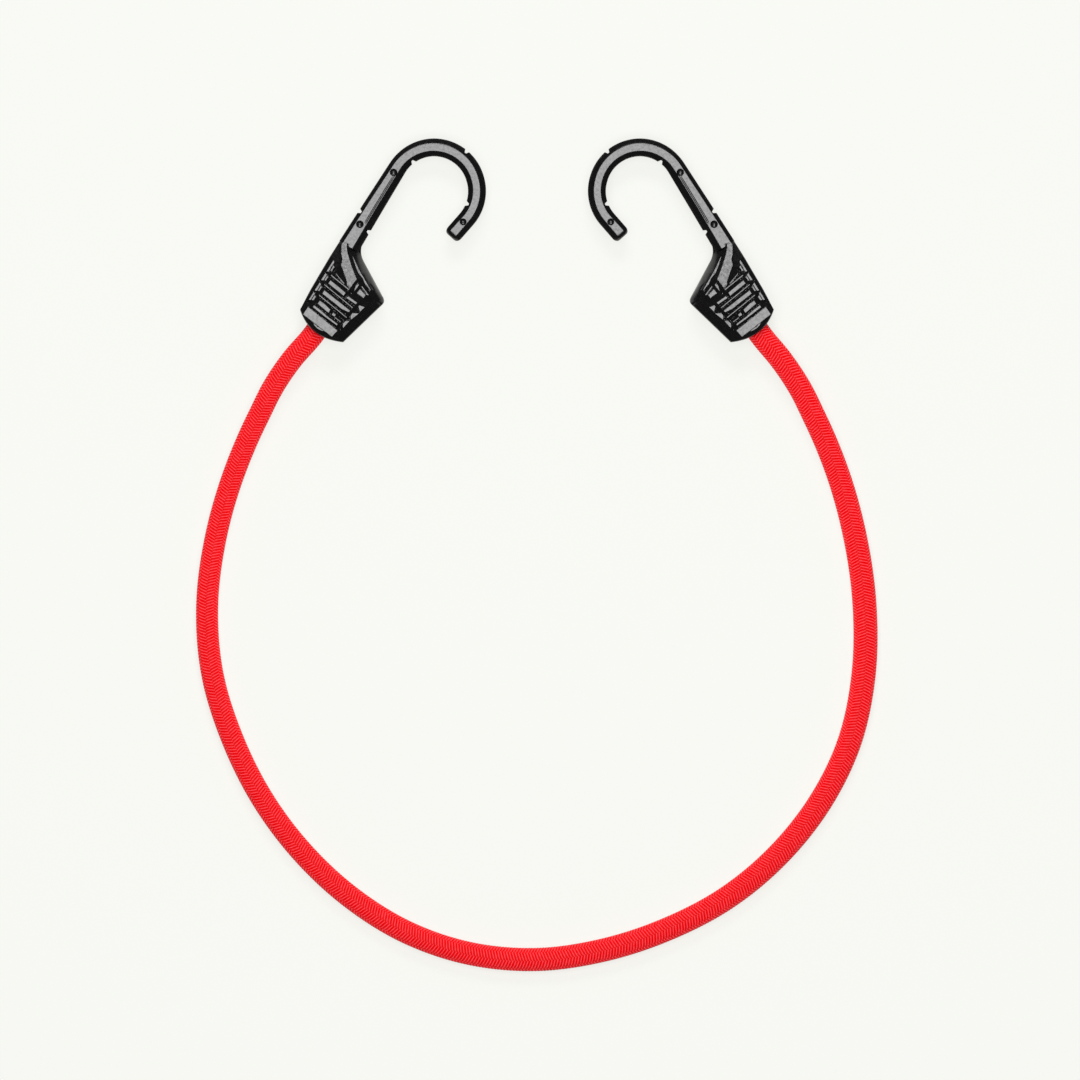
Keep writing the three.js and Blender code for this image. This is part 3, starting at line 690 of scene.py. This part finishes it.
def headMesh():
    mouthLine = bow(head["heel"], head["mouth"], head["toe"], head["mouthSteps"])
    tip, crook = np.array(head["wingTip"]), np.array(head["crook"])
    toTip = (tip - head["toe"]) / np.linalg.norm(tip - head["toe"])
    toCrook = (crook - tip) / np.linalg.norm(crook - tip)
    tipRound = bow(tip - head["tipRound"] * toTip, tip, tip + head["tipRound"] * toCrook)
    crookRound = bow(crook - head["crookRound"] * toCrook, crook, crook + (head["crookRound"], 0.0))
    toeStart, neckEnd = [head["beforeToe"], head["toe"]], [(head["end"], head["neckInner"])]
    innerLine = np.vstack([toeStart, tipRound, crookRound, neckEnd])
    tipMiddle = len(tipRound) // 2
    toeLine = np.vstack([toeStart, tipRound[:tipMiddle]])
    hollowLine = np.vstack([tipRound[tipMiddle:], crookRound, neckEnd])

    def innerAt(along):
        return np.interp(along, innerLine[:, 0], innerLine[:, 1])

    rows, columns = [round(size / head["cell"]) for size in head["gridSize"]]
    w = np.linspace(0, 1, columns + 1)
    mouthShare = np.linspace(0, 1, len(mouthLine))
    startAlong, startAcross = [np.interp(w, mouthShare, mouthLine[:, i]) for i in (0, 1)]
    startShare = (startAcross - outerAt(startAlong)) / (innerAt(startAlong) - outerAt(startAlong))
    u = np.linspace(0, 1, rows + 1)[:, None]
    along = startAlong + (head["end"] - startAlong) * u
    share = startShare + (w - startShare) * easeIn(0, head["evenBy"], u)
    across = outerAt(along) + (innerAt(along) - outerAt(along)) * share
    places = np.stack([along.ravel(), across.ravel()], -1)
    height = headHeight(places, mouthLine, toeLine, hollowLine)
    upper = np.stack([places[:, 0], -places[:, 1], height], -1)
    points = np.vstack([upper, upper * (1, 1, -1)])
    wide, size = columns + 1, len(upper)
    at = np.arange(size).reshape(rows + 1, wide)
    quads = np.stack([at[:-1, :-1], at[:-1, 1:], at[1:, 1:], at[1:, :-1]], -1).reshape(-1, 4)
    border = np.concatenate([at[0, :-1], at[:-1, -1], at[-1, :0:-1], at[:0:-1, 0]])
    rim = upper[border]
    way = np.roll(rim, -1, axis=0) - np.roll(rim, 1, axis=0)
    outward = np.stack([-way[:, 1], way[:, 0]], -1)
    outward /= np.linalg.norm(way[:, :2], axis=1, keepdims=True)
    # walls from the upper to the lower rim, leaning out to the parting line
    half, count = head["flashHalf"], len(border)
    thin = half / 3  # the parting line's edge, a third as thick
    rings = [border]
    for level, stand in ((half, 0.0), (thin, head["flash"]), (-thin, head["flash"]), (-half, 0.0)):
        ring = rim.copy()
        ring[:, :2] += (head["draft"] + stand) * outward
        ring[:, 2] = level
        rings.append(np.arange(count) + len(points))
        points = np.vstack([points, ring])
    rings.append(border + size)
    walls = [np.stack([a, np.roll(a, -1), np.roll(b, -1), b], -1)[:, ::-1]
             for a, b in zip(rings, rings[1:])]
    faces = np.vstack([quads, quads[:, ::-1] + size] + walls)
    return points, faces.tolist()


# a ring of points swept along a line, closed at both ends
def sweptRod(middles, sideWays, upWays, radii, sides):
    angle = 2 * np.pi * np.arange(sides) / sides
    rings = [m + r * (np.cos(angle)[:, None] * s + np.sin(angle)[:, None] * u)
             for m, s, u, r in zip(middles, sideWays, upWays, radii)]
    faces = ringFaces(len(rings), sides).tolist()
    faces.append(list(range(sides))[::-1])
    faces.append(list(range((len(rings) - 1) * sides, len(rings) * sides)))
    return np.vstack(rings), faces


# several closed shells as one
def joined(shells):
    points, faces, first = [], [], 0
    for shellPoints, shellFaces in shells:
        points.append(np.asarray(shellPoints))
        faces += [[i + first for i in face] for face in shellFaces]
        first += len(shellPoints)
    return np.vstack(points), faces


def workPiece(name, shell):
    mesh = bpy.data.meshes.new(name)
    mesh.from_pydata(np.asarray(shell[0]).tolist(), [], shell[1])
    work = bpy.data.objects.new(name, mesh)
    scene.collection.objects.link(work)
    solid = bmesh.new()
    solid.from_mesh(mesh)
    bmesh.ops.recalc_face_normals(solid, faces=solid.faces)
    solid.to_mesh(mesh)
    solid.free()
    return work


def carve(work, toolShell, operation):
    tool = workPiece("tool", toolShell)
    cut = work.modifiers.new("cut", "BOOLEAN")
    cut.object, cut.operation, cut.solver = tool, operation, "MANIFOLD"
    bpy.context.view_layer.update()
    carved = work.evaluated_get(bpy.context.evaluated_depsgraph_get())
    result = bpy.data.meshes.new_from_object(carved)
    work.modifiers.clear()
    work.data = result
    bpy.data.objects.remove(tool)


# the hollow inside the head: mouth, room for the wire's coil, room for the cord's clip
hollow = {
    "steps": [  # x and radius, in mm
        (-4.0, 3.55), (2.9, 3.55), (2.91, 6.05), (15.3, 6.05), (15.31, 5.25), (17.9, 5.25),
    ],
    "sides": 64,
}


def hookMoulding():
    work = workPiece("hookMoulding", headMesh())
    carve(work, barMesh(), "UNION")
    side, up = np.array([0.0, 1.0, 0.0]), np.array([0.0, 0.0, 1.0])
    middles = [np.array([x, 0.0, 0.0]) for x, radius in hollow["steps"]]
    radii = [radius for x, radius in hollow["steps"]]
    count = len(radii)
    rod = sweptRod(middles, [side] * count, [up] * count, radii, hollow["sides"])
    carve(work, rod, "DIFFERENCE")
    tunnelEnds = hook["tunnelStart"] - hook["shankEnd"], bendLength + hook["tunnelEnd"]
    rows = [barAt(reach) for reach in np.arange(*tunnelEnds, hook["tunnelStep"])]
    middles, outs = [m for m, a, o in rows], [o for m, a, o in rows]
    count = len(rows)
    rod = sweptRod(middles, outs, [up] * count, [hook["tunnel"]] * count, hook["tunnelSides"])
    carve(work, rod, "DIFFERENCE")
    top, above = hook["height"] / 2, hook["clear"]
    flare = hook["pinRing"] / hook["pinDepth"]
    pins = []
    for reach, outwards, radius in hook["pins"]:
        middle, ahead, out = barAt(reach)
        floor = radius - hook["pinRing"]
        edge = top - hook["pinDepth"]
        levels = (edge - hook["pinDish"] * floor, edge, top + above)
        sizes = [hook["pinPoint"], floor, radius + above * flare]
        for face in (1, -1):
            spots = [middle + outwards * out + up * face * level for level in levels]
            pins.append(sweptRod(spots, [ahead] * 3, [out] * 3, sizes, hook["pinSides"]))
    carve(work, joined(pins), "DIFFERENCE")
    floor, depth, half = hook["notchFloor"] / 2, hook["notchDepth"], hook["notchHalf"]
    mouth = hook["notchMouth"] / 2
    mouth += (mouth - floor) * 2 * above / depth
    corners = [(-floor, -depth), (floor, -depth), (mouth, 2 * above), (-mouth, 2 * above)]
    sides = [[i, (i + 1) % 4, (i + 1) % 4 + 4, i + 4] for i in range(4)]
    notches = []
    for name, sign in (("outer", 1), ("inner", -1)):
        for reach in hook[name + "Notches"]:
            middle, ahead, out = barAt(reach)
            wall = middle + sign * out * barSize(name + "Wall", reach)
            spots = [wall + a * ahead + b * sign * out + z * up
                     for z in (-half, half) for a, b in corners]
            notches.append((np.array(spots), [[0, 1, 2, 3], [7, 6, 5, 4]] + sides))
    carve(work, joined(notches), "DIFFERENCE")
    return work


# where the left hook lies: its mouth's middle and the way it points; the right one is turned over
seat = {"mouth": (-63.1, -26.1, 7.2), "along": (0.52844, 0.84897)}
work = hookMoulding()
shape = np.zeros(len(work.data.vertices) * 3)
work.data.vertices.foreach_get("co", shape)
shape = shape.reshape(-1, 3)
cosine, sine = seat["along"]
left = np.stack([seat["mouth"][0] + cosine * shape[:, 0] - sine * shape[:, 1],
                 seat["mouth"][1] + sine * shape[:, 0] + cosine * shape[:, 1],
                 seat["mouth"][2] + shape[:, 2]], -1)
turned = np.stack([-left[:, 0], left[:, 1], 2 * seat["mouth"][2] - left[:, 2]], -1)
for hand, places in (("left", left), ("right", turned)):
    mesh = work.data.copy()
    mesh.name = hand + "_hook_body"
    mesh.vertices.foreach_set("co", (places * mm).ravel())
    mesh.materials.clear()
    mesh.materials.append(nylon)
    mesh.update()
    mesh.shade_smooth()
    mesh.set_sharp_from_angle(angle=math.radians(hook["crease"]))
    piece = bpy.data.objects.new(hand + "_hook_body", mesh)
    scene.collection.objects.link(piece)
    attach(piece, hand + "_hook")
    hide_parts(hand + "_hook_moulding")
bpy.data.objects.remove(work)
print("hooks moulded,", len(mesh.polygons), "faces each")

# the hidden steel keeps its solids' shape
for name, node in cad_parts.items():
    if "wire" in name or "clip" in name:
        node.data.materials.clear()
        node.data.materials.append(steel)

# floor and light: a pale sheet under a broad softbox straight above, and a smaller one that
# stands beyond the hooks
studio = {
    "floor": "#F7F8F3", "floorSize": 6.0,  # m
    "floorMiddle": -85, "floorDrop": 0.02,  # mm along y, mm under the cord
    "glowShare": 0.82,  # of the floor's look is its own colour, the rest takes light and shadow
    "boxSize": 0.7, "boxHeight": 1.45, "boxMiddle": -0.06,  # m, m, m along y
    "boxLevel": 10.4, "topLevel": 12.0,  # brightness of the softboxes' faces
    "topSize": (0.6, 0.36), "topTilt": 35.0, "topReach": 1.5,  # m, degrees, m
    "fill": 0.09,  # even light from all round
}
paper, tree = newMaterial("paleStudioSheet")
colour = linearColour(studio["floor"])
sheet = addNode(tree, "BsdfDiffuse", {}, {"Color": colour})
glow = addNode(tree, "Emission", {}, {"Color": colour, "Strength": 1.0})
rays = addNode(tree, "LightPath")
seen = rays.outputs["Is Camera Ray"]
for kind in ("Is Glossy Ray", "Is Transmission Ray"):
    seen = addNode(tree, "Math", {"operation": "MAXIMUM"}, {},
                   {0: seen, 1: rays.outputs[kind]}).outputs[0]
glowing = addNode(tree, "Math", {"operation": "MULTIPLY"}, {1: studio["glowShare"]}, {0: seen})
mixed = addNode(tree, "MixShader", {}, {},
                {0: glowing.outputs[0], 1: sheet.outputs[0], 2: glow.outputs[0]})
addNode(tree, "OutputMaterial", {}, {}, {"Surface": mixed.outputs[0]})
half = studio["floorSize"] / 2
corners = [(-half, -half, 0), (half, -half, 0), (half, half, 0), (-half, half, 0)]
floorMesh = bpy.data.meshes.new("studioFloor")
floorMesh.from_pydata(corners, [], [(0, 1, 2, 3)])
floorMesh.materials.append(paper)
floor = bpy.data.objects.new("studioFloor", floorMesh)
floor.location = (0, studio["floorMiddle"] * mm, -studio["floorDrop"] * mm)
scene.collection.objects.link(floor)


def addSoftbox(name, width, depth, place, target, level):
    lampData = bpy.data.lights.new(name, "AREA")
    lampData.shape, lampData.size, lampData.size_y = "RECTANGLE", width, depth
    lampData.energy = level * math.pi * width * depth
    lamp = bpy.data.objects.new(name, lampData)
    lamp.location = place
    lamp.rotation_euler = (Vector(target) - Vector(place)).to_track_quat("-Z", "Y").to_euler()
    lamp.visible_camera = False
    scene.collection.objects.link(lamp)


boxPlace, boxTarget = (0, studio["boxMiddle"], studio["boxHeight"]), (0, studio["boxMiddle"], 0)
addSoftbox("overheadSoftbox", studio["boxSize"], studio["boxSize"], boxPlace, boxTarget,
           studio["boxLevel"])
tilt = math.radians(studio["topTilt"])
topPlace = (0, studio["topReach"] * math.sin(tilt), studio["topReach"] * math.cos(tilt))
addSoftbox("topSoftbox", *studio["topSize"], topPlace, (0, 0, 0), studio["topLevel"])

world = bpy.data.worlds.new("studioRoom")
scene.world = world
world.use_nodes = True
tree = world.node_tree
tree.nodes.clear()
room = addNode(tree, "Background", {},
               {"Color": linearColour("#FFFFFF"), "Strength": studio["fill"]})
addNode(tree, "OutputWorld", {}, {}, {"Surface": room.outputs[0]})
print("floor and light set")
